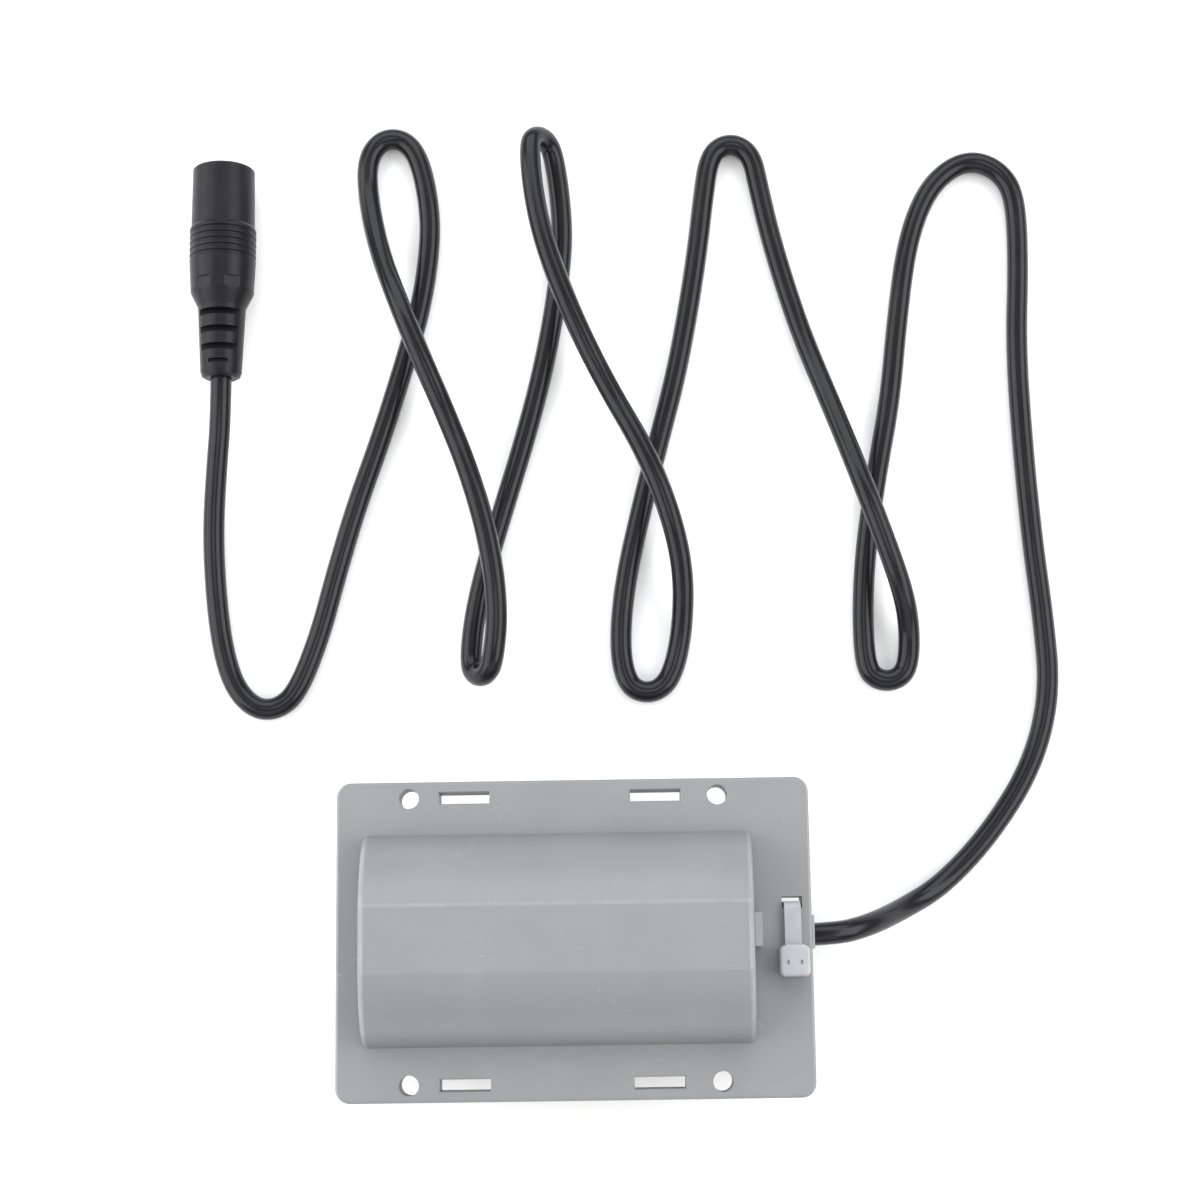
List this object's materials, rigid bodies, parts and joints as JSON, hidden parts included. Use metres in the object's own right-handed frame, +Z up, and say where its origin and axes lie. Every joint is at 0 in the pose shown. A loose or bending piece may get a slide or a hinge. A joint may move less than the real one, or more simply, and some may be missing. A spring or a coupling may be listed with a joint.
{
  "type": "vibration motor",
  "caption": "DC vibration motor: a double-shaft motor with eccentric weights in a flanged two-part moulded housing, with a power lead and a barrel socket.",
  "frame": {"origin": "middle of the flange's outline, on the plane that the housing's lower flat stands on", "axes": "+X along the motor shaft towards the lead's exit, +Y across the flange towards the side where the lead's loops lie, +Z up"},
  "size_m": [0.1464, 0.1663, 0.032],
  "materials": {
    "housing_grey": "moulded ABS, fine satin texture",
    "tie_nylon": "natural white nylon",
    "can_steel": "zinc-plated deep-drawn steel",
    "cap_black": "glass-filled nylon",
    "bronze": "sintered bronze",
    "ferrite": "sintered ferrite",
    "spring_steel": "spring steel",
    "carbon": "copper-graphite",
    "terminal_brass": "tinned brass strip",
    "wire_red": "PVC insulation",
    "wire_black": "PVC insulation",
    "lead_black": "glossy black PVC jacket",
    "socket_black": "moulded black PVC",
    "insert_black": "hard black plastic",
    "contact_nickel": "nickel-plated brass",
    "shaft_steel": "ground steel",
    "core_steel": "stacked electrical steel",
    "enamelled_copper": "enamelled copper wire",
    "hub_resin": "phenolic resin",
    "copper": "turned copper",
    "spacer_nylon": "natural nylon",
    "weight_steel": "zinc-plated steel"
  },
  "bodies": {
    "housing": {"upper_shell": "housing_grey", "lower_shell": "housing_grey", "cable_tie": "tie_nylon", "motor_can": "can_steel", "motor_end_cap": "cap_black", "front_bearing": "bronze", "rear_bearing": "bronze", "upper_field_magnet": "ferrite", "lower_field_magnet": "ferrite", "left_magnet_clip": "spring_steel", "right_magnet_clip": "spring_steel", "left_brush": "carbon", "right_brush": "carbon", "left_brush_terminal": "terminal_brass", "right_brush_terminal": "terminal_brass", "red_wire": "wire_red", "black_wire": "wire_black", "power_lead": "lead_black", "socket_housing": "socket_black", "socket_insert": "insert_black", "socket_spring_contact": "contact_nickel", "socket_center_pin": "contact_nickel"},
    "rotor": {"rotor_shaft": "shaft_steel", "rotor_core": "core_steel", "rotor_windings": "enamelled_copper", "commutator_hub": "hub_resin", "commutator_bars": "copper", "front_spacer": "spacer_nylon", "rear_spacer": "spacer_nylon", "front_eccentric_weight": "weight_steel", "rear_eccentric_weight": "weight_steel"}
  },
  "joints": [
    {"name": "rotor_spin", "type": "hinge", "parent": "housing", "child": "rotor", "pos_m": [-0.0044, 0, 0.016], "axis": [1, 0, 0], "continuous": true}
  ]
}
